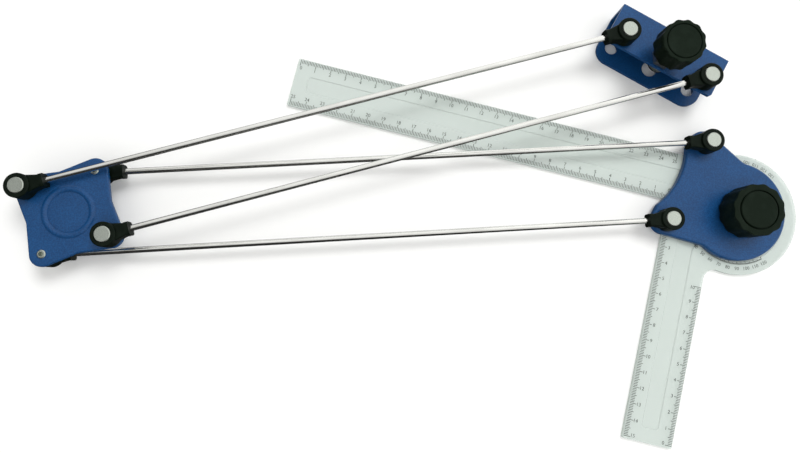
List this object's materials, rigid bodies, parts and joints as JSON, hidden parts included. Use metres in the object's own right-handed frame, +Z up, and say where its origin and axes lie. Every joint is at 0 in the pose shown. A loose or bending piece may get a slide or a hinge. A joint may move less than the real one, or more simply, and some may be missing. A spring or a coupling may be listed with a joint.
{
  "type": "mini drafter",
  "caption": "Parallelogram drafting machine: board clamp, two parallel-rod arms joined at an elbow plate, and a locking head with a turning L-shaped scale and protractor.",
  "frame": {"origin": "centre of the inner face of the clamp's back wall, the face that the board's edge is pushed against", "axes": "+Z up along every pivot, +X along the clamp, and the board comes in from -Y"},
  "size_m": [0.4326, 0.3158, 0.0488],
  "materials": {
    "blue_enamel": "fine hammered blue enamel, semi-gloss",
    "bright_rod": "bright drawn steel",
    "brushed_pin": "satin turned steel",
    "zinc_steel": "zinc-plated steel",
    "brass": "machined",
    "rubber": "matte",
    "nylon": "natural nylon",
    "black_plastic": "moulded black, satin",
    "knob_plastic": "moulded black, fine texture",
    "clear_acrylic": "clear acrylic with black graduations"
  },
  "bodies": {
    "clamp": {"clamp_frame": "blue_enamel", "clamp_bush": "zinc_steel", "clamp_pivot_pins": "brushed_pin", "clamp_washers": "nylon"},
    "clamp_pad": {"clamp_pad": "brushed_pin", "clamp_pad_facing": "rubber"},
    "clamp_screw": {"clamp_screw": "zinc_steel", "clamp_knob": "knob_plastic", "clamp_knob_cap": "knob_plastic"},
    "upper_rod_a": {"upper_rod_a": "bright_rod", "upper_rod_a_clamp_end": "black_plastic", "upper_rod_a_elbow_end": "black_plastic"},
    "upper_rod_b": {"upper_rod_b": "bright_rod", "upper_rod_b_clamp_end": "black_plastic", "upper_rod_b_elbow_end": "black_plastic"},
    "elbow": {"elbow_plate": "blue_enamel", "elbow_upper_pins": "brushed_pin", "elbow_upper_washers": "nylon", "elbow_lower_pins": "brushed_pin", "elbow_lower_washers": "nylon"},
    "lower_rod_a": {"lower_rod_a": "bright_rod", "lower_rod_a_elbow_end": "black_plastic", "lower_rod_a_head_end": "black_plastic"},
    "lower_rod_b": {"lower_rod_b": "bright_rod", "lower_rod_b_elbow_end": "black_plastic", "lower_rod_b_head_end": "black_plastic"},
    "head": {"head_plate": "blue_enamel", "head_pivot_pins": "brushed_pin", "head_spacers": "nylon", "hub": "zinc_steel", "friction_ring": "nylon"},
    "scale": {"scale": "clear_acrylic", "scale_bushing": "nylon"},
    "knob_washer": {"knob_washer": "zinc_steel"},
    "head_knob": {"head_knob": "knob_plastic", "knob_insert": "brass", "head_knob_cap": "knob_plastic"}
  },
  "joints": [
    {"name": "clamp_pad_travel", "type": "slide", "parent": "clamp", "child": "clamp_pad", "axis": [0, 0, 1], "range_m": [-0.0049, 0.0014]},
    {"name": "clamp_screw_turn", "type": "hinge", "parent": "clamp_pad", "child": "clamp_screw", "pos_m": [0, -0.0167, 0], "axis": [0, 0, 1], "range_deg": [-1260, 360]},
    {"name": "upper_arm_swing", "type": "hinge", "parent": "clamp", "child": "upper_rod_a", "pos_m": [-0.02835, -0.0167, 0], "axis": [0, 0, 1], "range_deg": [-1, 100]},
    {"name": "upper_rod_b_swing", "type": "hinge", "parent": "clamp", "child": "upper_rod_b", "pos_m": [0.02835, -0.0167, 0], "axis": [0, 0, 1], "range_deg": [-1, 100]},
    {"name": "elbow_turn", "type": "hinge", "parent": "upper_rod_a", "child": "elbow", "pos_m": [-0.29287, -0.27755, 0], "axis": [0, 0, 1], "range_deg": [-100, 1]},
    {"name": "lower_arm_swing", "type": "hinge", "parent": "elbow", "child": "lower_rod_a", "pos_m": [-0.26452, -0.3059, 0], "axis": [0, 0, 1], "range_deg": [-100, 1]},
    {"name": "lower_rod_b_swing", "type": "hinge", "parent": "elbow", "child": "lower_rod_b", "pos_m": [-0.26452, -0.2492, 0], "axis": [0, 0, 1], "range_deg": [-100, 1]},
    {"name": "head_turn", "type": "hinge", "parent": "lower_rod_a", "child": "head", "pos_m": [0.05231, -0.1025, 0], "axis": [0, 0, 1], "range_deg": [-1, 100]},
    {"name": "scale_turn", "type": "hinge", "parent": "head", "child": "scale", "pos_m": [0.09331, -0.07415, 0], "axis": [0, 0, 1], "range_deg": [-18, 100]},
    {"name": "head_knob_lift", "type": "slide", "parent": "head", "child": "knob_washer", "axis": [0, 0, 1], "range_m": [0, 0.00125]},
    {"name": "head_knob_turn", "type": "hinge", "parent": "knob_washer", "child": "head_knob", "pos_m": [0.09331, -0.07415, 0], "axis": [0, 0, 1], "range_deg": [0, 360]}
  ],
  "couplings": [
    {"joint": "clamp_pad_travel", "follows": "clamp_screw_turn", "m_per_rad": 0.00019894},
    {"joint": "upper_rod_b_swing", "follows": "upper_arm_swing", "ratio": 1},
    {"joint": "elbow_turn", "follows": "upper_arm_swing", "ratio": -1},
    {"joint": "lower_rod_b_swing", "follows": "lower_arm_swing", "ratio": 1},
    {"joint": "head_turn", "follows": "lower_arm_swing", "ratio": -1},
    {"joint": "head_knob_lift", "follows": "head_knob_turn", "m_per_rad": 0.00019894}
  ]
}
